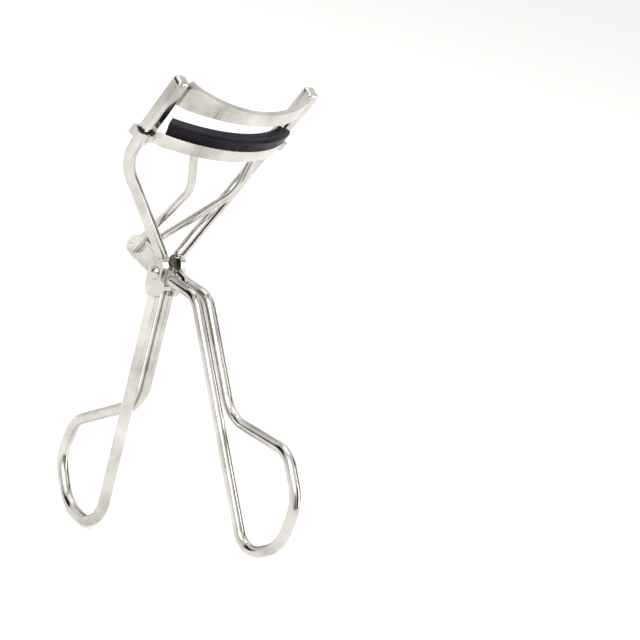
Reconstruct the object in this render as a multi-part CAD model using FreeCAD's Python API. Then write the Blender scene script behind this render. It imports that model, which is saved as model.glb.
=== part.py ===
"""Eyelash curler: a bent wire frame, a bent wire lever and a sliding lower jaw with a silicone pad.

Millimetres. The origin is the centre of the lever's pivot. X runs along the pivot, +Z runs up the
frame's handle towards the jaws, and -Y is the front, the outside of the jaws' curve.
"""
import FreeCAD
import Part
import math
import os
from FreeCAD import Placement, Rotation, Vector

# ---------------------------------------------------------------- jaws and guide posts
post_spacing = 34.0         # centre to centre
post_back = 3.86            # a post's foot, in front of the pivot
post_foot = 32.01           # and above it
post_lean = 30.65           # degrees that the posts lean forward
post_width = 2.7
post_depth = 3.0
post_corner = 0.7
post_top = 15.2             # above the foot, along the post
post_bottom = -2.6
post_top_round = 0.7
jaw_radius = 25.5           # middle of the jaws' curve, seen along the posts
jaw_end_radius = 2.9        # tighter ends, which turn back to meet the posts

# ---------------------------------------------------------------- upper jaw
upper_reach = 7.2           # how far it bows forward of the posts
plate_thickness = 0.9
press_edge = 9.03           # pressing edge above the foot, level with the posts
press_slope = 18.2          # degrees that the pressing edge rises to the front
plate_top = 16.16
plate_top_fall = 9.65       # degrees that the top edge falls to the front
plate_corner = 2.6
tenon_thickness = 0.8
tenon_height = 4.4
tenon_bottom = 9.4
tenon_forward = 0.85
tenon_proud = 0.12

# ---------------------------------------------------------------- lower jaw
lower_reach = 7.05
lower_slope = 20.0          # degrees that it rises to the front when it hangs open
lower_bottom = -1.52        # underside, level with the posts
lower_thickness = 3.35      # along the posts
lower_width = 3.0
lower_full_turn = 19.0      # degrees into the tighter ends where the full height stops
ring_thickness = 1.8
ring_wall = 0.65
ring_clearance = 0.4
groove_width = 1.6
groove_depth = 1.2
rib_clearance = 0.04

# ---------------------------------------------------------------- silicone pad
pad_width = 3.0
pad_height = 2.9            # front step above the seat, along the posts
pad_lip_width = 1.35        # the raised back edge
pad_lip_height = 0.32
pad_end_turn = 15.0         # degrees into the tighter ends at the pad's end faces
rib_end_turn = 7.0
rib_end_gap_turn = 0.04     # degrees that the rib stops short of its groove's ends

# ---------------------------------------------------------------- frame wire
frame_diameter = 2.65
frame_rod_x = 1.83          # a handle rod's centre, from the middle plane
frame_flat_inner = 1.7      # inner face of the pressed flats at the pivot
frame_flat_thickness = 1.4
frame_flat_radius = 2.35
frame_flat_up = 1.7         # centre of the flat's upper round
frame_flat_down = 3.2
frame_rod_shoulder = 0.075  # the round rods begin this far below the stop bar
arm_start_x = 2.5
arm_start = 4.2
arm_knee = 8.9              # the arm meets the post's line this far below the foot
arm_knee_bend = 11.0
frame_loop_bottom = 62.9
frame_loop_bend = 8.0

# ---------------------------------------------------------------- lever wire
lever_diameter = 2.4
lever_rod_inset = 0.04      # the round rods reach this far inside the flats' inner faces
lever_flat_inner = 0.45
lever_side_gap = 0.07       # between the lever's flats and the frame's
lever_boss_radius = 2.1
lever_eye_radius = 2.5
lever_arm_flat = 4.9        # the front arm is pressed flat this far from the pivot
lever_arm_flat_radius = 1.35
lever_round_from = 4.7
lever_open_angle = 37.9     # degrees between the two handles at rest
lever_rod_out = 10.2        # handle rod's distance from the pivot, square to the rod
lever_knee_down = 8.24
lever_knee_bend = 5.0
lever_loop_bottom = 62.4
lever_loop_bend = 5.0

# ---------------------------------------------------------------- pivot rivet and cross pin
rivet_radius = 1.1
running_gap = 0.05
rivet_head_radius = 1.5
rivet_head_height = 0.95
rivet_head_gap = 0.04
collar_radius = 1.7
collar_gap = 0.05
pin_back = 10.3             # behind the pivot
pin_height = 2.0
pin_radius = 0.8
pin_end = 0.12              # beyond the fork's eyes
pin_rim_radius = 0.7

# ---------------------------------------------------------------- fork legs and stop bar
leg_diameter = 1.7
leg_top_x = 7.9
leg_socket_depth = 1.1
leg_socket_gap = 0.02
leg_knee_x = 6.06
leg_knee_front = 8.7
leg_knee_height = 21.7
leg_knee_bend = 7.0
leg_eye_inner = 1.75
leg_eye_thickness = 1.2
leg_eye_radius = 1.45
leg_round_from = 4.1        # from the cross pin
stop_bar_front = 0.9
stop_bar_middle = 3.15
stop_bar_height = 0.9
stop_bar_depth = 1.3

tool_length = 80.0          # cutting shapes reach past the whole curler
jaw_depth = 11.0            # and past the jaws, front and back
edge_tolerance = 0.05       # an edge this near a plane counts as lying on it

# ---------------------------------------------------------------- worked out from the sizes above
pivot = Vector(0, 0, 0)
jaw_placement = Placement(Vector(0, -post_back, post_foot), Rotation(Vector(1, 0, 0), post_lean))
post_x = post_spacing / 2
plate_end_x = post_x - post_width / 2 - plate_thickness / 2
jaw_turn = math.degrees(math.asin((plate_end_x - jaw_end_radius) / (jaw_radius - jaw_end_radius)))
tight_ends_ahead = (jaw_radius - jaw_end_radius) * math.cos(math.radians(jaw_turn)) - jaw_radius
plate_tail = upper_reach + tight_ends_ahead - tenon_forward + tenon_thickness / 2
lower_full_heading = jaw_turn + lower_full_turn
pad_end_heading = jaw_turn + pad_end_turn
rib_end_heading = jaw_turn + rib_end_turn
frame_radius = frame_diameter / 2
frame_rod_top = stop_bar_middle + stop_bar_height / 2 + frame_radius + frame_rod_shoulder
lever_radius = lever_diameter / 2
lever_rod_x = lever_flat_inner + lever_radius - lever_rod_inset
leg_radius = leg_diameter / 2
frame_flat_outer = frame_flat_inner + frame_flat_thickness
lever_flat_thickness = frame_flat_inner - lever_side_gap - lever_flat_inner
leg_eye_outer = leg_eye_inner + leg_eye_thickness
lower_top = lower_bottom + lower_thickness
pin_centre = Vector(0, pin_back, pin_height)

# corners of the frame's finger loop: how far back, how far down, how far over, bend radius
frame_loop_corners = [
    (14.2, 62.8, -0.6, 9.0),
    (21.3, 54.5, 0.2, 8.0),
    (20.3, 44.9, 1.0, 6.0),
    (0.0, 31.0, frame_rod_x, 9.0),
]
# corners of the lever's finger loop: how far out from its rod, then the same
lever_loop_corners = [
    (10.5, 62.4, -0.6, 8.0),
    (16.9, 54.5, 0.2, 8.0),
    (16.3, 44.6, 0.9, 6.0),
    (0.0, 34.0, lever_rod_x, 8.0),
]


def bent_path(corners):
    """Straight runs between corner points, with a tangent arc of the given radius at each."""
    edges = []
    start = corners[0][0]
    for index in range(1, len(corners) - 1):
        corner, radius = corners[index]
        toward = (corners[index - 1][0] - corner).normalize()
        onward = (corners[index + 1][0] - corner).normalize()
        half = toward.getAngle(onward) / 2
        arc_start = corner + toward * (radius / math.tan(half))
        arc_end = corner + onward * (radius / math.tan(half))
        bisector = (toward + onward).normalize()
        arc_middle = corner + bisector * (radius / math.sin(half) - radius)
        edges.append(Part.makeLine(start, arc_start))
        edges.append(Part.Arc(arc_start, arc_middle, arc_end).toShape())
        start = arc_end
    edges.append(Part.makeLine(start, corners[-1][0]))
    return Part.Wire(edges)


def wire_rod(corners, radius):
    """Round wire bent along the corners, with a ball end at each end."""
    path = bent_path(corners)
    first = corners[0][0]
    direction = corners[1][0] - first
    section = Part.Wire(Part.makeCircle(radius, first, direction))
    rod = path.makePipeShell([section], True, False)
    ball_start = Part.makeSphere(radius, first)
    ball_end = Part.makeSphere(radius, corners[-1][0])
    return rod.multiFuse([ball_start, ball_end])


def rod_across(radius, x_from, x_to, centre):
    """A cylinder along X."""
    return Part.makeCylinder(radius, x_to - x_from, Vector(x_from, centre.y, centre.z), Vector(1, 0, 0))


def flat_link(first, first_radius, second, second_radius, x_from, x_to):
    """A pressed flat square to X: two round ends joined by their common tangents."""
    along = second - first
    distance = math.hypot(along.y, along.z)
    heading = math.atan2(along.z, along.y)
    lean = math.acos((first_radius - second_radius) / distance)
    outline = []
    for centre, radius, side in (
            (first, first_radius, 1), (second, second_radius, 1),
            (second, second_radius, -1), (first, first_radius, -1)):
        angle = heading + side * lean
        spoke = Vector(0, math.cos(angle), math.sin(angle))
        outline.append(Vector(x_from, centre.y, centre.z) + spoke * radius)
    outline.append(outline[0])
    web = Part.Face(Part.makePolygon(outline)).extrude(Vector(x_to - x_from, 0, 0))
    ends = [rod_across(first_radius, x_from, x_to, first), rod_across(second_radius, x_from, x_to, second)]
    return web.multiFuse(ends)


def x_range(inner, outer, side):
    return (inner, outer) if side > 0 else (-outer, -inner)


def rounded_bar(width, depth, corner, bottom, top, x):
    """An upright bar of rounded rectangular section."""
    bar = Part.makeBox(width, depth, top - bottom, Vector(x - width / 2, -depth / 2, bottom))
    upright = [edge for edge in bar.Edges if abs(edge.tangentAt(edge.FirstParameter).z) > 0.5]
    return bar.makeFillet(corner, upright)


def jaw_curve(reach, offset, end_heading, tail):
    """One line of the jaws' curve, left to right: a wide arc, two tighter ends and straight tails."""
    turn = math.radians(jaw_turn)
    wide_centre = Vector(0, jaw_radius - reach, 0)
    wide = jaw_radius + offset
    tight = jaw_end_radius + offset

    def heading(angle):
        return Vector(math.sin(angle), -math.cos(angle), 0)

    ends = []
    for side in (-1, 1):
        tight_centre = wide_centre + heading(side * turn) * (jaw_radius - jaw_end_radius)
        arc_end = side * math.radians(end_heading)
        points = [
            tight_centre + heading(side * turn) * tight,
            tight_centre + heading((side * turn + arc_end) / 2) * tight,
            tight_centre + heading(arc_end) * tight]
        ends.append(points)
    left, right = ends
    back = Vector(0, tail, 0)
    edges = [
        Part.Arc(left[2], left[1], left[0]).toShape(),
        Part.Arc(left[0], wide_centre + heading(0) * wide, right[0]).toShape(),
        Part.Arc(right[0], right[1], right[2]).toShape()]
    if tail > 0:
        edges.insert(0, Part.makeLine(left[2] + back, left[2]))
        edges.append(Part.makeLine(right[2], right[2] + back))
    return edges, left[2] + back, right[2] + back


def curved_band(reach, back_offset, front_offset, end_heading, tail=0):
    """An upright wall between two lines of the jaws' curve, taller than the jaws."""
    front_edges, front_left, front_right = jaw_curve(reach, front_offset, end_heading, tail)
    back_edges, back_left, back_right = jaw_curve(reach, back_offset, end_heading, tail)
    caps = [Part.makeLine(front_left, back_left), Part.makeLine(front_right, back_right)]
    outline = Part.Wire(Part.__sortEdges__(front_edges + back_edges + caps))
    wall = Part.Face(outline).extrude(Vector(0, 0, 2 * tool_length))
    wall.translate(Vector(0, 0, -tool_length))
    return wall


def sloped_slab(bottom, bottom_slope, top, top_slope):
    """Everything between two planes that rise to the front at the given angles."""
    low = jaw_depth * math.tan(math.radians(bottom_slope))
    high = jaw_depth * math.tan(math.radians(top_slope))
    outline = [
        Vector(-tool_length, jaw_depth, bottom - low),
        Vector(-tool_length, -jaw_depth, bottom + low),
        Vector(-tool_length, -jaw_depth, top + high),
        Vector(-tool_length, jaw_depth, top - high)]
    outline.append(outline[0])
    return Part.Face(Part.makePolygon(outline)).extrude(Vector(2 * tool_length, 0, 0))


def in_place(shape):
    """Carry a shape from the posts' own frame to the curler's."""
    moved = shape.copy()
    moved.Placement = jaw_placement.multiply(moved.Placement)
    return moved


def make_post(side):
    post = rounded_bar(post_width, post_depth, post_corner, post_bottom, post_top, side * post_x)
    rim = [edge for edge in post.Edges if edge.BoundBox.ZMin > post_top - edge_tolerance]
    return post.makeFillet(post_top_round, rim)


def make_tenon(side):
    """The upper plate's squared end, which passes through the post."""
    inner = post_x - post_width / 2 - tenon_thickness
    outer = post_x + post_width / 2 + tenon_proud
    x_from, x_to = x_range(inner, outer, side)
    return Part.makeBox(
        x_to - x_from, tenon_thickness, tenon_height,
        Vector(x_from, -tenon_forward - tenon_thickness / 2, tenon_bottom))


def make_upper_jaw_plate():
    half = plate_thickness / 2
    band = curved_band(upper_reach, -half, half, 90, plate_tail)
    plate = band.common(sloped_slab(press_edge, press_slope, plate_top, -plate_top_fall))
    half_length = post_x - post_width / 2
    front_view = Part.makeBox(
        2 * half_length, 2 * tool_length, plate_top, Vector(-half_length, -tool_length, 0))
    corners = [
        edge for edge in front_view.Edges
        if abs(edge.CenterOfMass.z - plate_top) < edge_tolerance and abs(edge.CenterOfMass.x) > post_width]
    plate = plate.common(front_view.makeFillet(plate_corner, corners))
    return plate.multiFuse([make_tenon(-1), make_tenon(1)])


def make_frame_arm(side):
    """From the flat at the pivot out to the foot of the post."""
    along_post = jaw_placement.Rotation.multVec(Vector(0, 0, 1))
    foot = jaw_placement.Base + Vector(side * post_x, 0, 0)
    knee = foot - along_post * arm_knee
    start = Vector(side * arm_start_x, 0, arm_start)
    end = foot + along_post * (post_bottom + frame_radius)
    return wire_rod([(start, 0), (knee, arm_knee_bend), (end, 0)], frame_radius)


def make_frame_wire():
    start = Vector(-frame_rod_x, 0, -frame_rod_top)
    end = Vector(frame_rod_x, 0, -frame_rod_top)
    corners = [(start, 0), (Vector(-frame_rod_x, 0, -frame_loop_bottom), frame_loop_bend)]
    for back, down, over, bend in frame_loop_corners:
        corners.append((Vector(over, back, -down), bend))
    corners.append((end, 0))
    pieces = []
    for side in (-1, 1):
        x_from, x_to = x_range(frame_flat_inner, frame_flat_outer, side)
        pieces.append(make_frame_arm(side))
        pieces.append(in_place(make_post(side)))
        pieces.append(flat_link(
            Vector(0, 0, -frame_flat_down), frame_flat_radius,
            Vector(0, 0, frame_flat_up), frame_flat_radius, x_from, x_to))
    frame = wire_rod(corners, frame_radius).multiFuse(pieces)
    holes = [in_place(make_tenon(side)) for side in (-1, 1)]
    holes.append(rod_across(rivet_radius + running_gap, -tool_length, tool_length, pivot))
    return frame.cut(Part.makeCompound(holes))


def make_lever_wire():
    tilt = Rotation(Vector(1, 0, 0), -lever_open_angle)

    def beside_rod(out, down, x):
        return tilt.multVec(Vector(x, -lever_rod_out - out, -down))

    knee = beside_rod(0, lever_knee_down, -lever_rod_x)
    knee_flat = Vector(0, knee.y, knee.z)
    to_knee = (knee_flat - pivot).normalize()
    start = to_knee * lever_round_from + Vector(-lever_rod_x, 0, 0)
    corners = [
        (start, 0),
        (knee, lever_knee_bend),
        (beside_rod(0, lever_loop_bottom, -lever_rod_x), lever_loop_bend)]
    for out, down, over, bend in lever_loop_corners:
        corners.append((beside_rod(out, down, over), bend))
    corners.append((beside_rod(0, lever_knee_down, lever_rod_x), lever_knee_bend))
    corners.append((to_knee * lever_round_from + Vector(lever_rod_x, 0, 0), 0))
    flats = []
    for side in (-1, 1):
        x_from, x_to = x_range(lever_flat_inner, lever_flat_inner + lever_flat_thickness, side)
        flats.append(flat_link(pivot, lever_boss_radius, pin_centre, lever_eye_radius, x_from, x_to))
        flats.append(flat_link(
            pivot, lever_boss_radius, to_knee * lever_arm_flat, lever_arm_flat_radius, x_from, x_to))
    lever = wire_rod(corners, lever_radius).multiFuse(flats)
    holes = [
        rod_across(rivet_radius + running_gap, -tool_length, tool_length, pivot),
        rod_across(pin_radius, -tool_length, tool_length, pin_centre)]
    return lever.cut(Part.makeCompound(holes))


def make_lower_bar(width, bottom, top, end_heading):
    band = curved_band(lower_reach, -width / 2, width / 2, end_heading)
    return band.common(sloped_slab(bottom, lower_slope, top, lower_slope))


def make_lower_jaw_plate():
    bar = make_lower_bar(lower_width, lower_bottom, lower_top, lower_full_heading)
    thin_top = lower_bottom + ring_thickness
    pieces = [make_lower_bar(lower_width, lower_bottom, thin_top, 90)]
    holes = [make_lower_bar(groove_width, lower_top - groove_depth, lower_top + groove_depth, rib_end_heading)]
    slab = sloped_slab(lower_bottom, lower_slope, thin_top, lower_slope)
    for side in (-1, 1):
        hole_growth = 2 * ring_clearance
        ring_growth = 2 * (ring_clearance + ring_wall)
        ring = rounded_bar(
            post_width + ring_growth, post_depth + ring_growth, post_corner + ring_growth / 2,
            -jaw_depth, jaw_depth, side * post_x)
        pieces.append(ring.common(slab))
        holes.append(rounded_bar(
            post_width + hole_growth, post_depth + hole_growth, post_corner + hole_growth / 2,
            -jaw_depth, jaw_depth, side * post_x))
    jaw = in_place(bar.multiFuse(pieces).cut(Part.makeCompound(holes)))
    sockets = [make_fork_leg_rod(side, leg_radius + leg_socket_gap) for side in (-1, 1)]
    return jaw.cut(Part.makeCompound(sockets))


def make_silicone_pad():
    back = -pad_width / 2
    pad_top = lower_top + pad_height
    body = make_lower_bar(pad_width, lower_top, pad_top, pad_end_heading)
    lip_wall = curved_band(lower_reach, back, back + pad_lip_width, pad_end_heading)
    lip = lip_wall.common(sloped_slab(lower_top, lower_slope, pad_top + pad_lip_height, lower_slope))
    rib = make_lower_bar(
        groove_width - 2 * rib_clearance, lower_top - groove_depth + rib_clearance, pad_top,
        rib_end_heading - rib_end_gap_turn)
    return in_place(body.multiFuse([lip, rib]))


def leg_points(side):
    """Where a leg meets the lower jaw, its knee, and where it is pressed flat for the cross pin."""
    knee = Vector(side * leg_knee_x, -leg_knee_front, leg_knee_height)
    bar_y = jaw_radius - lower_reach - math.sqrt(jaw_radius ** 2 - leg_top_x ** 2)
    underside = lower_bottom - bar_y * math.tan(math.radians(lower_slope))
    top = jaw_placement.multVec(Vector(side * leg_top_x, bar_y, underside))
    eye_x = side * (leg_eye_inner + leg_eye_thickness / 2)
    eye = Vector(eye_x, pin_back, pin_height)
    round_end = eye + (Vector(0, knee.y, knee.z) - pin_centre).normalize() * leg_round_from
    return top, knee, round_end


def make_fork_leg_rod(side, radius):
    top, knee, round_end = leg_points(side)
    socket_end = top + (top - knee).normalize() * leg_socket_depth
    path = bent_path([(socket_end, 0), (knee, leg_knee_bend), (round_end, 0)])
    section = Part.Wire(Part.makeCircle(radius, socket_end, knee - socket_end))
    rod = path.makePipeShell([section], True, False)
    return rod.fuse(Part.makeSphere(radius, round_end))


def make_fork_leg(side):
    top, knee, round_end = leg_points(side)
    x_from, x_to = x_range(leg_eye_inner, leg_eye_outer, side)
    flat_start = Vector(0, round_end.y, round_end.z)
    flat = flat_link(flat_start, leg_radius, pin_centre, leg_eye_radius, x_from, x_to)
    leg = make_fork_leg_rod(side, leg_radius).fuse(flat)
    return leg.cut(rod_across(pin_radius + running_gap, -tool_length, tool_length, pin_centre))


def make_pivot_rivet():
    seat = frame_flat_outer + rivet_head_gap
    shank = rod_across(rivet_radius, -seat, seat, pivot)
    collar_half = lever_flat_inner - collar_gap
    pieces = [rod_across(collar_radius, -collar_half, collar_half, pivot)]
    ball_radius = (rivet_head_radius ** 2 + rivet_head_height ** 2) / (2 * rivet_head_height)
    for side in (-1, 1):
        x_from, x_to = x_range(seat, seat + rivet_head_height, side)
        ball = Part.makeSphere(ball_radius, Vector(side * (seat + rivet_head_height - ball_radius), 0, 0))
        pieces.append(ball.common(rod_across(2 * rivet_head_radius, x_from, x_to, pivot)))
    return shank.multiFuse(pieces)


def make_cross_pin():
    half = leg_eye_outer + pin_end
    pin = rod_across(pin_radius, -half, half, pin_centre)
    rims = [edge for edge in pin.Edges if edge.Length > pin_radius and edge.BoundBox.XLength < edge_tolerance]
    return pin.makeChamfer(pin_radius - pin_rim_radius, rims)


def make_stop_bar():
    corner_y = -stop_bar_front - stop_bar_depth / 2
    corner_z = -stop_bar_middle - stop_bar_height / 2
    return Part.makeBox(
        2 * frame_flat_inner, stop_bar_depth, stop_bar_height,
        Vector(-frame_flat_inner, corner_y, corner_z))


def main():
    os.makedirs("parts", exist_ok=True)
    nodes = {
        "frame_wire": make_frame_wire(),
        "upper_jaw_plate": in_place(make_upper_jaw_plate()),
        "lower_jaw_plate": make_lower_jaw_plate(),
        "silicone_pad": make_silicone_pad(),
        "fork_leg_left": make_fork_leg(-1),
        "fork_leg_right": make_fork_leg(1),
        "lever_wire": make_lever_wire(),
        "pivot_rivet": make_pivot_rivet(),
        "cross_pin": make_cross_pin(),
        "stop_bar": make_stop_bar(),
    }
    for name, shape in nodes.items():
        if not shape.isValid():
            raise ValueError(name + " is not a valid shape")
        solids = shape.Solids
        if len(solids) != 1:
            raise ValueError(name + " came out as " + str(len(solids)) + " solids")
        solids[0].exportStep("parts/" + name + ".step")


main()
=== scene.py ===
"""Looks, light and camera for the eyelash curler, around its CAD frame."""
import math

import bpy
from bpy.props import FloatProperty, FloatVectorProperty, PointerProperty
from mathutils import Matrix, Vector


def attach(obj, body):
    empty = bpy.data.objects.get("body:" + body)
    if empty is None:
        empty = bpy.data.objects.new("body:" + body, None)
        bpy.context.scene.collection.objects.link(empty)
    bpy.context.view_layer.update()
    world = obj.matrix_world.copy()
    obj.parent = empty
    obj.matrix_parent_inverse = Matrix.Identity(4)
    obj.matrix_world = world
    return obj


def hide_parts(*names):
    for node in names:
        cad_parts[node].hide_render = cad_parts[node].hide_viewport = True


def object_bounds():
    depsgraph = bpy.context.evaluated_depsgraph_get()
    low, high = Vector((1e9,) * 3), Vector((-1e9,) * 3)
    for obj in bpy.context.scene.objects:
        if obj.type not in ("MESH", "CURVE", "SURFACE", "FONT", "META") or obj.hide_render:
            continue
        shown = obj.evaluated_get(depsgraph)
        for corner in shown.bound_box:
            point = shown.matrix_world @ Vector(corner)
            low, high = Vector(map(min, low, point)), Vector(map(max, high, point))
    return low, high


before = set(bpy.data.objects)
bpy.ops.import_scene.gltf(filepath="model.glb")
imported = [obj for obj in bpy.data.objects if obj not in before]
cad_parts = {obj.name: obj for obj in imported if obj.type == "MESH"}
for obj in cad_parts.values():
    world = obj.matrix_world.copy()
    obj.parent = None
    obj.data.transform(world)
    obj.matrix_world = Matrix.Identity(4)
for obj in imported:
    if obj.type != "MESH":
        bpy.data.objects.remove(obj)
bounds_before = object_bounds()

bl_info = {
    "name": "Eyelash curler",
    "version": (1, 0, 0),
    "blender": (4, 5, 0),
    "location": "View3D > Sidebar > Curler",
    "description": "Finishes, silicone pad, light and camera for an eyelash curler",
    "category": "Object",
}

MM = 0.001

# The silicone pad's sweep
PATH_STEPS = 96
SECTION_SPACING = 0.35 * MM
FILLET_STEPS = 5
SHARP_ANGLE = math.radians(40)

# The studio, in metres. Lights and cards are aimed at the curler's middle, a little below its pivot
AIM = (0.0, -0.015, -0.008)
KEY_PLACE, KEY_SIZE = (-0.55, -0.35, 0.60), (0.50, 0.50)
FILL_PLACE, FILL_SIZE = (0.50, -0.55, 0.20), (0.35, 0.60)
TOP_PLACE, TOP_SIZE = (0.10, 0.20, 0.80), (0.60, 0.60)
# Plain cards that give the bright wires their grey cores and dark lines: name, place, size, colour
CARDS = (
    ("warm_card", (-0.30, -0.62, -0.02), (0.45, 0.60), "#948F86"),
    ("dark_card_right", (0.47, -0.18, 0.02), (0.22, 0.90), "#1B1418"),
    ("dark_card_front", (0.14, -0.53, 0.02), (0.30, 0.90), "#241C20"),
    ("dark_card_left", (-0.45, 0.32, 0.05), (0.26, 0.90), "#2A2522"),
    ("dark_card_back", (0.18, 0.50, 0.05), (0.12, 0.90), "#2A2522"),
)
CAMERA_PLACE = (-0.22287, -0.2662, 0.109)
CAMERA_FORWARD = (0.6807, 0.6665, -0.3038)
CAMERA_UP = (0.0244, 0.3939, 0.9188)
SENSOR_WIDTH = 36.0
CAMERA_CLIP = 0.01


# ------------------------------------------------------------------ helpers
def linear(hex_colour):
    """An sRGB hex colour as linear RGBA."""
    text = hex_colour.lstrip("#")
    values = []
    for start in (0, 2, 4):
        channel = int(text[start:start + 2], 16) / 255
        if channel <= 0.04045:
            values.append(channel / 12.92)
        else:
            values.append(((channel + 0.055) / 1.055) ** 2.4)
    return (*values, 1.0)


def add(tree, kind, settings=None, stops=(), **inputs):
    """Adds a node with its settings, and a ramp's stops as (position, colour). An input is given by
    name, or by place as i0, i1 and so on, and is a value or the output socket to link."""
    node = tree.nodes.new(kind)
    for name, value in (settings or {}).items():
        setattr(node, name, value)
    for index, (position, colour) in enumerate(stops):
        elements = node.color_ramp.elements
        if index == len(elements):
            elements.new(position)
        elements[index].position = position
        elements[index].color = colour
    for name, value in inputs.items():
        by_place = name[0] == "i" and name[1:].isdigit()
        socket = node.inputs[int(name[1:]) if by_place else name.replace("_", " ")]
        if isinstance(value, bpy.types.NodeSocket):
            tree.links.new(value, socket)
        else:
            socket.default_value = value
    return node


def per_mm(feature):
    """The texture scale, on metres, that gives features of this size in millimetres."""
    return 1 / (feature * MM)


def new_material(name):
    """An empty material with its surface shader and its pattern coordinates."""
    material = bpy.data.materials.new(name)
    material.use_nodes = True
    tree = material.node_tree
    tree.nodes.clear()
    output = add(tree, "ShaderNodeOutputMaterial")
    shader = add(tree, "ShaderNodeBsdfPrincipled")
    tree.links.new(shader.outputs["BSDF"], output.inputs["Surface"])
    coordinates = add(tree, "ShaderNodeTexCoord").outputs["Object"]
    return material, tree, shader, coordinates


# ------------------------------------------------------------------ materials
def nickel(name, finish, ripple_mm, roughness):
    """Bright nickel plated over drawn or pressed steel, then buffed. The eye gets a warm grey mirror
    that is a little cloudy where fingers touch it, a faint ripple from the buffing wheel, short hair
    scratches, and patchy painted shade that darkens it round the pivot, where the parts overlap."""
    material, tree, shader, place = new_material(name)
    links = tree.links
    cloud_mm = 9.0
    scratch_width_mm = 0.25     # a real hair scratch is too fine to show, so it is drawn this coarse
    scratch_length_mm = 4.0
    shade_full, shade_end = 1 * MM, 7 * MM      # distances from the pivot's middle, at the origin, over which the painted shade fades out
    cloud = add(
        tree, "ShaderNodeTexNoise", Vector=place, Scale=per_mm(cloud_mm), Detail=4.0, Roughness=0.6)
    ripple = add(tree, "ShaderNodeTexNoise", Vector=place, Scale=per_mm(ripple_mm), Detail=2.0)
    across, along = per_mm(scratch_width_mm), per_mm(scratch_length_mm)
    stretched = add(tree, "ShaderNodeMapping", Vector=place, Scale=(across, across, along))
    hair = add(tree, "ShaderNodeTexNoise", Vector=stretched.outputs["Vector"], Scale=1.0, Detail=3.0)
    scratch = add(
        tree, "ShaderNodeMapRange", Value=hair.outputs["Fac"], From_Min=0.60, From_Max=0.72).outputs[0]
    tones = ((0.30, finish.deep_colour), (0.52, finish.nickel_colour), (0.75, finish.bright_colour))
    tone = add(tree, "ShaderNodeValToRGB", stops=tones, Fac=cloud.outputs["Fac"])
    # Painted shade: patchy darkening round the pivot, where the wires and plates overlap, mixed in with the
    # pivot shade colour
    distance = add(tree, "ShaderNodeVectorMath", {"operation": "LENGTH"}, i0=place)
    near_pivot = add(
        tree, "ShaderNodeMapRange", Value=distance.outputs["Value"], From_Min=shade_full,
        From_Max=shade_end, To_Min=1.0, To_Max=0.0)
    patches = add(
        tree, "ShaderNodeMapRange", Value=cloud.outputs["Fac"], From_Min=0.45, From_Max=0.65, To_Max=0.5)
    pivot_shade_mask = add(
        tree, "ShaderNodeMath", {"operation": "MULTIPLY", "use_clamp": True},
        i0=near_pivot.outputs[0], i1=patches.outputs[0])
    shaded_tone = add(
        tree, "ShaderNodeMix", {"data_type": "RGBA"}, i0=pivot_shade_mask.outputs[0], i6=tone.outputs["Color"],
        i7=finish.pivot_shade_colour)
    links.new(shaded_tone.outputs[2], shader.inputs["Base Color"])
    rough = add(
        tree, "ShaderNodeMapRange", Value=cloud.outputs["Fac"], From_Min=0.35, From_Max=0.7,
        To_Min=roughness * 0.75, To_Max=roughness * 1.5)
    rougher = add(
        tree, "ShaderNodeMath", {"operation": "MULTIPLY_ADD"}, i0=scratch, i1=0.10, i2=rough.outputs[0])
    links.new(rougher.outputs[0], shader.inputs["Roughness"])
    shader.inputs["Metallic"].default_value = 1.0
    wave = add(tree, "ShaderNodeBump", Height=ripple.outputs["Fac"], Strength=0.10, Distance=0.02 * MM)
    marks = add(
        tree, "ShaderNodeBump", {"invert": True}, Height=scratch, Strength=0.12, Distance=0.01 * MM,
        Normal=wave.outputs["Normal"])
    links.new(marks.outputs["Normal"], shader.inputs["Normal"])
    return material


def silicone(name, finish):
    """Moulded silicone rubber, near black with a violet cast. The eye gets a low sheen on the rounded
    edges, a fine matt skin from the mould, and a few pale specks of lint and powder."""
    material, tree, shader, place = new_material(name)
    links = tree.links
    skin_mm = 0.18      # the mould's own grain is too fine to show, so it is drawn this coarse
    rubbed_patch_mm = 5.0
    lint_spacing_mm = 0.9
    skin = add(tree, "ShaderNodeTexNoise", Vector=place, Scale=per_mm(skin_mm), Detail=3.0)
    patch = add(tree, "ShaderNodeTexNoise", Vector=place, Scale=per_mm(rubbed_patch_mm), Detail=3.0)
    lint = add(tree, "ShaderNodeTexVoronoi", Vector=place, Scale=per_mm(lint_spacing_mm))
    tones = ((0.35, finish.pad_colour), (0.70, finish.pad_light_colour))
    tone = add(tree, "ShaderNodeValToRGB", stops=tones, Fac=patch.outputs["Fac"])
    speck = add(
        tree, "ShaderNodeMapRange", Value=lint.outputs["Distance"], From_Min=0.02, From_Max=0.07,
        To_Min=0.35, To_Max=0.0)
    dusted = add(
        tree, "ShaderNodeMix", {"data_type": "RGBA"}, i0=speck.outputs[0], i6=tone.outputs["Color"],
        i7=finish.lint_colour)
    links.new(dusted.outputs[2], shader.inputs["Base Color"])
    rough = add(
        tree, "ShaderNodeMapRange", Value=patch.outputs["Fac"], From_Min=0.35, From_Max=0.7,
        To_Min=0.24, To_Max=0.40)
    links.new(rough.outputs[0], shader.inputs["Roughness"])
    shader.inputs["IOR"].default_value = 1.41
    shader.inputs["Specular IOR Level"].default_value = 0.15
    bump = add(tree, "ShaderNodeBump", Height=skin.outputs["Fac"], Strength=0.18, Distance=0.02 * MM)
    links.new(bump.outputs["Normal"], shader.inputs["Normal"])
    return material


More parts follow.
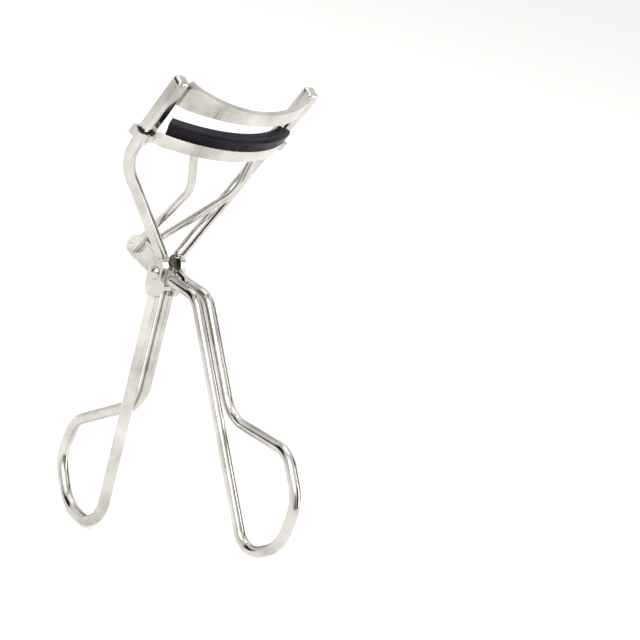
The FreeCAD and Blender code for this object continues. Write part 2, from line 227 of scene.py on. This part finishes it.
def material_for(slot):
    """The finish for one of the record's material slots, made once."""
    name = "look_" + slot
    found = bpy.data.materials.get(name)
    if found:
        return found
    finish = bpy.context.scene.curler_finish
    if slot == "silicone":
        return silicone(name, finish)
    # the buffing ripple's size in millimetres, and the roughness
    plated = {
        "nickel_wire": (1.6, finish.wire_roughness),
        "nickel_plate": (2.4, finish.plate_roughness),
        "nickel_rivet": (0.8, finish.rivet_roughness),
    }
    ripple_mm, roughness = plated[slot]
    return nickel(name, finish, ripple_mm, roughness)


def dress(node, slot):
    """Gives a CAD node its finish without touching its shape."""
    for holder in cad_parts[node].material_slots:
        holder.material = material_for(slot)


# ------------------------------------------------------------------ settings
class CurlerFinish(bpy.types.PropertyGroup):
    nickel_colour: FloatVectorProperty(
        name="Nickel", description="Main tone of the plating",
        size=4, subtype="COLOR", min=0, max=1, default=linear("#C9C6C0"))
    deep_colour: FloatVectorProperty(
        name="Nickel, deep", description="Darker clouds in the plating",
        size=4, subtype="COLOR", min=0, max=1, default=linear("#A9A69F"))
    bright_colour: FloatVectorProperty(
        name="Nickel, bright", description="Best polished areas",
        size=4, subtype="COLOR", min=0, max=1, default=linear("#DEDCD8"))
    # painted shade: the colour that darkens the plating in patches round the pivot, where the parts overlap
    pivot_shade_colour: FloatVectorProperty(
        name="Pivot shade", description="Painted shade round the pivot",
        size=4, subtype="COLOR", min=0, max=1, default=linear("#8B8476"))
    wire_roughness: FloatProperty(
        name="Wire roughness", description="Roughness of the bent wires", default=0.13,
        min=0, max=1, subtype="FACTOR")
    plate_roughness: FloatProperty(
        name="Plate roughness", description="Roughness of the two jaws", default=0.16,
        min=0, max=1, subtype="FACTOR")
    rivet_roughness: FloatProperty(
        name="Rivet roughness", description="Roughness of the rivet and pin", default=0.12,
        min=0, max=1, subtype="FACTOR")
    pad_colour: FloatVectorProperty(
        name="Silicone", description="Main tone of the pad",
        size=4, subtype="COLOR", min=0, max=1, default=linear("#120D18"))
    pad_light_colour: FloatVectorProperty(
        name="Silicone, light", description="Rubbed areas of the pad",
        size=4, subtype="COLOR", min=0, max=1, default=linear("#241D2C"))
    lint_colour: FloatVectorProperty(
        name="Lint", description="Specks on the pad",
        size=4, subtype="COLOR", min=0, max=1, default=linear("#6A6472"))


class CurlerPad(bpy.types.PropertyGroup):
    width: FloatProperty(
        name="Width", description="Pad width", default=3.0 * MM, unit="LENGTH")
    height: FloatProperty(
        name="Height", description="Front step above the seat", default=2.9 * MM, unit="LENGTH")
    lip_width: FloatProperty(
        name="Lip width", description="Raised back edge", default=1.35 * MM, unit="LENGTH")
    lip_height: FloatProperty(
        name="Lip rise", description="Rise of the back edge", default=0.32 * MM, unit="LENGTH")
    rounding: FloatProperty(
        name="Rounding", description="Rounding of long edges", default=0.38 * MM, unit="LENGTH")
    reach: FloatProperty(
        name="Reach", description="Bow ahead of the posts", default=7.05 * MM, unit="LENGTH")
    radius: FloatProperty(
        name="Radius", description="Wide middle arc", default=25.5 * MM, unit="LENGTH")
    end_radius: FloatProperty(
        name="End radius", description="Tighter end arcs", default=2.9 * MM, unit="LENGTH")
    turn: FloatProperty(
        name="Turn", description="Where the end arcs begin", default=math.radians(33.0), subtype="ANGLE")
    end_turn: FloatProperty(
        name="End turn", description="Where the pad stops", default=math.radians(48.0), subtype="ANGLE")
    seat: FloatProperty(
        name="Seat", description="Seat above the posts' foot", default=1.83 * MM, unit="LENGTH")
    slope: FloatProperty(
        name="Slope", description="Rise of the seat to the front", default=math.radians(20.0),
        subtype="ANGLE")
    lean: FloatProperty(
        name="Lean", description="Posts' forward lean", default=math.radians(30.65), subtype="ANGLE")
    foot: FloatVectorProperty(
        name="Foot", description="Foot of the posts on the middle plane", size=3,
        default=(0.0, -3.86 * MM, 32.01 * MM), unit="LENGTH")


class CurlerStage(bpy.types.PropertyGroup):
    floor_size: FloatProperty(
        name="Floor size", description="Width and depth of the floor", default=6.0, unit="LENGTH")
    floor_colour: FloatVectorProperty(
        name="Floor", description="Floor colour",
        size=4, subtype="COLOR", min=0, max=1, default=linear("#F4F3F1"))
    floor_lift: FloatProperty(
        name="Floor lift", description="Paleness of the floor to the eye", default=0.36, min=0)
    room_light: FloatProperty(
        name="Room light", description="Plain light from all round", default=0.62, min=0)
    key_power: FloatProperty(
        name="Key light", description="Large soft light, upper left", default=3.4, unit="POWER")
    fill_power: FloatProperty(
        name="Fill light", description="Soft light from the right", default=1.4, unit="POWER")
    top_power: FloatProperty(
        name="Top light", description="Soft light overhead", default=1.6, unit="POWER")
    lens: FloatProperty(name="Lens", description="Focal length", default=95.6, unit="CAMERA")


# ------------------------------------------------------------------ pieces
class CURLER_OT_frame(bpy.types.Operator):
    """Finishes the bent wire frame and its stop bar"""
    bl_idname = "curler.frame"
    bl_label = "Wire frame"

    def execute(self, context):
        dress("frame_wire", "nickel_wire")
        dress("stop_bar", "nickel_plate")
        return {"FINISHED"}


class CURLER_OT_lever(bpy.types.Operator):
    """Finishes the bent wire lever"""
    bl_idname = "curler.lever"
    bl_label = "Wire lever"

    def execute(self, context):
        dress("lever_wire", "nickel_wire")
        return {"FINISHED"}


class CURLER_OT_jaws(bpy.types.Operator):
    """Finishes the upper jaw plate and the sliding lower jaw plate"""
    bl_idname = "curler.jaws"
    bl_label = "Jaw plates"

    def execute(self, context):
        for node in ("upper_jaw_plate", "lower_jaw_plate"):
            dress(node, "nickel_plate")
        return {"FINISHED"}


class CURLER_OT_fork(bpy.types.Operator):
    """Finishes the two fork legs that push the lower jaw"""
    bl_idname = "curler.fork"
    bl_label = "Fork legs"

    def execute(self, context):
        for node in ("fork_leg_left", "fork_leg_right"):
            dress(node, "nickel_wire")
        return {"FINISHED"}


class CURLER_OT_rivets(bpy.types.Operator):
    """Finishes the pivot rivet and the cross pin"""
    bl_idname = "curler.rivets"
    bl_label = "Rivet and pin"

    def execute(self, context):
        for node in ("pivot_rivet", "cross_pin"):
            dress(node, "nickel_rivet")
        return {"FINISHED"}


def pad_path(pad):
    """Points along the middle of the pad's seat, in the posts' own frame, from left to right."""
    wide_centre = Vector((0, pad.radius - pad.reach, 0))
    points = []
    for index in range(PATH_STEPS + 1):
        angle = pad.end_turn * (2 * index / PATH_STEPS - 1)
        heading = Vector((math.sin(angle), -math.cos(angle), 0))
        if abs(angle) <= pad.turn:
            point = wide_centre + heading * pad.radius
        else:
            limit = math.copysign(pad.turn, angle)
            corner = Vector((math.sin(limit), -math.cos(limit), 0))
            point = wide_centre + corner * (pad.radius - pad.end_radius) + heading * pad.end_radius
        point.z = pad.seat - point.y * math.tan(pad.slope)
        points.append(point)
    return points


def pad_tree():
    """Sweeps two rounded sections, the body and its raised back edge, along the path."""
    tree = bpy.data.node_groups.new("Pad sweep", "GeometryNodeTree")
    face = tree.interface
    face.new_socket(name="Geometry", in_out="INPUT", socket_type="NodeSocketGeometry")
    face.new_socket(name="Geometry", in_out="OUTPUT", socket_type="NodeSocketGeometry")
    kinds = {
        "Width": "NodeSocketFloat", "Height": "NodeSocketFloat", "Lip width": "NodeSocketFloat",
        "Lip rise": "NodeSocketFloat", "Rounding": "NodeSocketFloat", "Spacing": "NodeSocketFloat",
        "Lean": "NodeSocketFloat", "Foot": "NodeSocketVector", "Material": "NodeSocketMaterial"}
    sockets = {}
    for name, kind in kinds.items():
        sockets[name] = face.new_socket(name=name, in_out="INPUT", socket_type=kind).identifier
    given = add(tree, "NodeGroupInput").outputs
    line = add(tree, "GeometryNodeMeshToCurve", Mesh=given["Geometry"]).outputs[0]
    line = add(
        tree, "GeometryNodeResampleCurve", {"mode": "LENGTH"}, Curve=line,
        Length=given["Spacing"]).outputs[0]
    line = add(tree, "GeometryNodeSetCurveNormal", {"mode": "Z_UP"}, Curve=line).outputs[0]
    joined = add(tree, "GeometryNodeJoinGeometry")
    full = add(
        tree, "ShaderNodeMath", {"operation": "ADD"}, i0=given["Height"], i1=given["Lip rise"]).outputs[0]
    spare = add(
        tree, "ShaderNodeMath", {"operation": "SUBTRACT"}, i0=given["Width"], i1=given["Lip width"])
    back = add(tree, "ShaderNodeMath", {"operation": "MULTIPLY"}, i0=spare.outputs[0], i1=0.5).outputs[0]
    for width, height, shift in (
            (given["Width"], given["Height"], 0.0), (given["Lip width"], full, back)):
        section = add(
            tree, "GeometryNodeCurvePrimitiveQuadrilateral", Width=width, Height=height).outputs[0]
        section = add(
            tree, "GeometryNodeFilletCurve", {"mode": "POLY"}, Curve=section, Radius=given["Rounding"],
            Count=FILLET_STEPS).outputs[0]
        # in the sweep a section's own Y points down, so this lifts it onto the seat
        lift = add(tree, "ShaderNodeMath", {"operation": "MULTIPLY"}, i0=height, i1=-0.5)
        move = add(tree, "ShaderNodeCombineXYZ", X=shift, Y=lift.outputs[0])
        section = add(
            tree, "GeometryNodeTransform", Geometry=section, Translation=move.outputs[0]).outputs[0]
        swept = add(
            tree, "GeometryNodeCurveToMesh", Curve=line, Profile_Curve=section, Fill_Caps=True)
        tree.links.new(swept.outputs[0], joined.inputs[0])
    turn = add(tree, "ShaderNodeCombineXYZ", X=given["Lean"])
    placed = add(
        tree, "GeometryNodeTransform", Geometry=joined.outputs[0], Translation=given["Foot"],
        Rotation=turn.outputs[0])
    real = add(tree, "GeometryNodeRealizeInstances", Geometry=placed.outputs[0])
    finished = add(
        tree, "GeometryNodeSetMaterial", Geometry=real.outputs[0], Material=given["Material"])
    output = add(tree, "NodeGroupOutput")
    tree.links.new(finished.outputs[0], output.inputs[0])
    return tree, sockets


class CURLER_OT_pad(bpy.types.Operator):
    """Builds the silicone pad with rounded long edges and a raised back edge"""
    bl_idname = "curler.pad"
    bl_label = "Silicone pad"

    def execute(self, context):
        pad = context.scene.curler_pad
        points = pad_path(pad)
        base = bpy.data.meshes.new("pad_path")
        edges = [(index, index + 1) for index in range(len(points) - 1)]
        base.from_pydata([tuple(point) for point in points], edges, [])
        holder = bpy.data.objects.new("pad_path", base)
        context.scene.collection.objects.link(holder)
        tree, sockets = pad_tree()
        modifier = holder.modifiers.new("Sweep", "NODES")
        modifier.node_group = tree
        values = {
            "Width": pad.width, "Height": pad.height, "Lip width": pad.lip_width,
            "Lip rise": pad.lip_height, "Rounding": pad.rounding, "Spacing": SECTION_SPACING,
            "Lean": pad.lean, "Foot": tuple(pad.foot), "Material": material_for("silicone")}
        for name, value in values.items():
            modifier[sockets[name]] = value
        graph = context.evaluated_depsgraph_get()
        mesh = bpy.data.meshes.new_from_object(holder.evaluated_get(graph), depsgraph=graph)
        bpy.data.objects.remove(holder)
        if not mesh.polygons:
            raise RuntimeError("the silicone pad came out empty")
        mesh.shade_smooth()
        mesh.set_sharp_from_angle(angle=SHARP_ANGLE)
        piece = bpy.data.objects.new("silicone_pad_look", mesh)
        context.scene.collection.objects.link(piece)
        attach(piece, "lower_jaw")
        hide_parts("silicone_pad")
        return {"FINISHED"}


# ------------------------------------------------------------------ stage
def facing(place):
    """The turn that points a lamp or a card at the curler."""
    return (Vector(AIM) - Vector(place)).to_track_quat("-Z", "Y").to_euler()


def flat_sheet(name, width, depth, height=0.0):
    """A level rectangle about the Z axis."""
    x, y = width / 2, depth / 2
    mesh = bpy.data.meshes.new(name)
    corners = [(-x, -y, height), (x, -y, height), (x, y, height), (-x, y, height)]
    mesh.from_pydata(corners, [], [(0, 1, 2, 3)])
    sheet = bpy.data.objects.new(name, mesh)
    bpy.context.scene.collection.objects.link(sheet)
    return sheet


def soft_light(name, place, size, power, colour):
    """A rectangular soft light."""
    lamp = bpy.data.lights.new(name, "AREA")
    lamp.shape = "RECTANGLE"
    lamp.size, lamp.size_y = size
    lamp.energy = power
    lamp.color = linear(colour)[:3]
    holder = bpy.data.objects.new(name, lamp)
    holder.location = place
    holder.rotation_euler = facing(place)
    bpy.context.scene.collection.objects.link(holder)


def card(name, place, size, colour):
    """A plain studio card that only reflections see."""
    holder = flat_sheet(name, *size)
    holder.location = place
    holder.rotation_euler = facing(place)
    holder.visible_camera = False
    holder.visible_diffuse = False
    holder.visible_shadow = False
    material = bpy.data.materials.new(name)
    material.use_nodes = True
    tree = material.node_tree
    tree.nodes.clear()
    glow = add(tree, "ShaderNodeEmission", Color=linear(colour), Strength=1.0)
    output = add(tree, "ShaderNodeOutputMaterial")
    tree.links.new(glow.outputs[0], output.inputs["Surface"])
    holder.data.materials.append(material)


def seen(tree):
    """1 for what the eye sees directly, through glass or in a glossy surface, and 0 for matt light."""
    path = add(tree, "ShaderNodeLightPath").outputs
    clamped_sum = {"operation": "ADD", "use_clamp": True}
    both = add(
        tree, "ShaderNodeMath", clamped_sum, i0=path["Is Camera Ray"], i1=path["Is Transmission Ray"])
    return add(tree, "ShaderNodeMath", clamped_sum, i0=both.outputs[0], i1=path["Is Glossy Ray"]).outputs[0]


def make_floor(stage):
    """A matt floor under the curler's lowest point, lifted towards white for the eye."""
    lowest = bounds_before[0][2]
    floor = flat_sheet("floor", stage.floor_size, stage.floor_size, lowest)
    paint = bpy.data.materials.new("floor")
    paint.use_nodes = True
    tree = paint.node_tree
    shader = tree.nodes["Principled BSDF"]
    shader.inputs["Base Color"].default_value = stage.floor_colour
    shader.inputs["Roughness"].default_value = 0.9
    shader.inputs["Specular IOR Level"].default_value = 0.0
    shader.inputs["Emission Color"].default_value = stage.floor_colour
    lift = add(tree, "ShaderNodeMath", {"operation": "MULTIPLY"}, i0=seen(tree), i1=stage.floor_lift)
    tree.links.new(lift.outputs[0], shader.inputs["Emission Strength"])
    floor.data.materials.append(paint)


def make_world(scene, room_light):
    """White wherever it is seen, and a plain light from all round."""
    world = bpy.data.worlds.new("studio")
    scene.world = world
    world.use_nodes = True
    tree = world.node_tree
    tree.nodes.clear()
    strength = add(tree, "ShaderNodeMapRange", Value=seen(tree), To_Min=room_light, To_Max=1.0)
    sky = add(tree, "ShaderNodeBackground", Color=linear("#FFFFFF"), Strength=strength.outputs[0])
    output = add(tree, "ShaderNodeOutputWorld")
    tree.links.new(sky.outputs[0], output.inputs["Surface"])


def make_camera(scene, focal_length):
    lens = bpy.data.cameras.new("camera")
    lens.lens = focal_length
    lens.sensor_width = SENSOR_WIDTH
    lens.clip_start = CAMERA_CLIP
    camera = bpy.data.objects.new("camera", lens)
    forward = Vector(CAMERA_FORWARD).normalized()
    right = forward.cross(Vector(CAMERA_UP)).normalized()
    up = right.cross(forward)
    turn = Matrix((right, up, -forward)).transposed().to_4x4()
    camera.matrix_world = Matrix.Translation(CAMERA_PLACE) @ turn
    scene.collection.objects.link(camera)
    scene.camera = camera


class CURLER_OT_stage(bpy.types.Operator):
    """Sets the pale floor, the studio light and the camera"""
    bl_idname = "curler.stage"
    bl_label = "Stage"

    def execute(self, context):
        scene = context.scene
        stage = scene.curler_stage
        make_floor(stage)
        make_world(scene, stage.room_light)
        soft_light("key", KEY_PLACE, KEY_SIZE, stage.key_power, "#FFFFFF")
        soft_light("fill", FILL_PLACE, FILL_SIZE, stage.fill_power, "#FFFAF2")
        soft_light("top", TOP_PLACE, TOP_SIZE, stage.top_power, "#FFFFFF")
        for name, place, size, colour in CARDS:
            card(name, place, size, colour)
        make_camera(scene, stage.lens)
        scene.view_settings.view_transform = "Standard"
        return {"FINISHED"}


class CURLER_PT_panel(bpy.types.Panel):
    """Lists the pieces and their settings"""
    bl_idname = "CURLER_PT_panel"
    bl_label = "Eyelash curler"
    bl_space_type = "VIEW_3D"
    bl_region_type = "UI"
    bl_category = "Curler"

    def draw(self, context):
        layout = self.layout
        scene = context.scene
        for operator in OPERATORS:
            layout.operator(operator.bl_idname)
        for group in (scene.curler_finish, scene.curler_pad, scene.curler_stage):
            column = layout.column()
            for name in group.__annotations__:
                column.prop(group, name)


OPERATORS = (
    CURLER_OT_frame, CURLER_OT_lever, CURLER_OT_jaws, CURLER_OT_fork, CURLER_OT_rivets, CURLER_OT_pad,
    CURLER_OT_stage)
GROUPS = {"curler_finish": CurlerFinish, "curler_pad": CurlerPad, "curler_stage": CurlerStage}


def register():
    for group in GROUPS.values():
        bpy.utils.register_class(group)
    for name, group in GROUPS.items():
        setattr(bpy.types.Scene, name, PointerProperty(type=group))
    for kind in (*OPERATORS, CURLER_PT_panel):
        bpy.utils.register_class(kind)


def unregister():
    for kind in (CURLER_PT_panel, *reversed(OPERATORS)):
        bpy.utils.unregister_class(kind)
    for name, group in GROUPS.items():
        delattr(bpy.types.Scene, name)
        bpy.utils.unregister_class(group)


def main():
    register()
    bpy.ops.curler.frame()
    bpy.ops.curler.lever()
    bpy.ops.curler.jaws()
    bpy.ops.curler.fork()
    bpy.ops.curler.rivets()
    bpy.ops.curler.pad()
    bpy.ops.curler.stage()


if __name__ == "__main__":
    main()
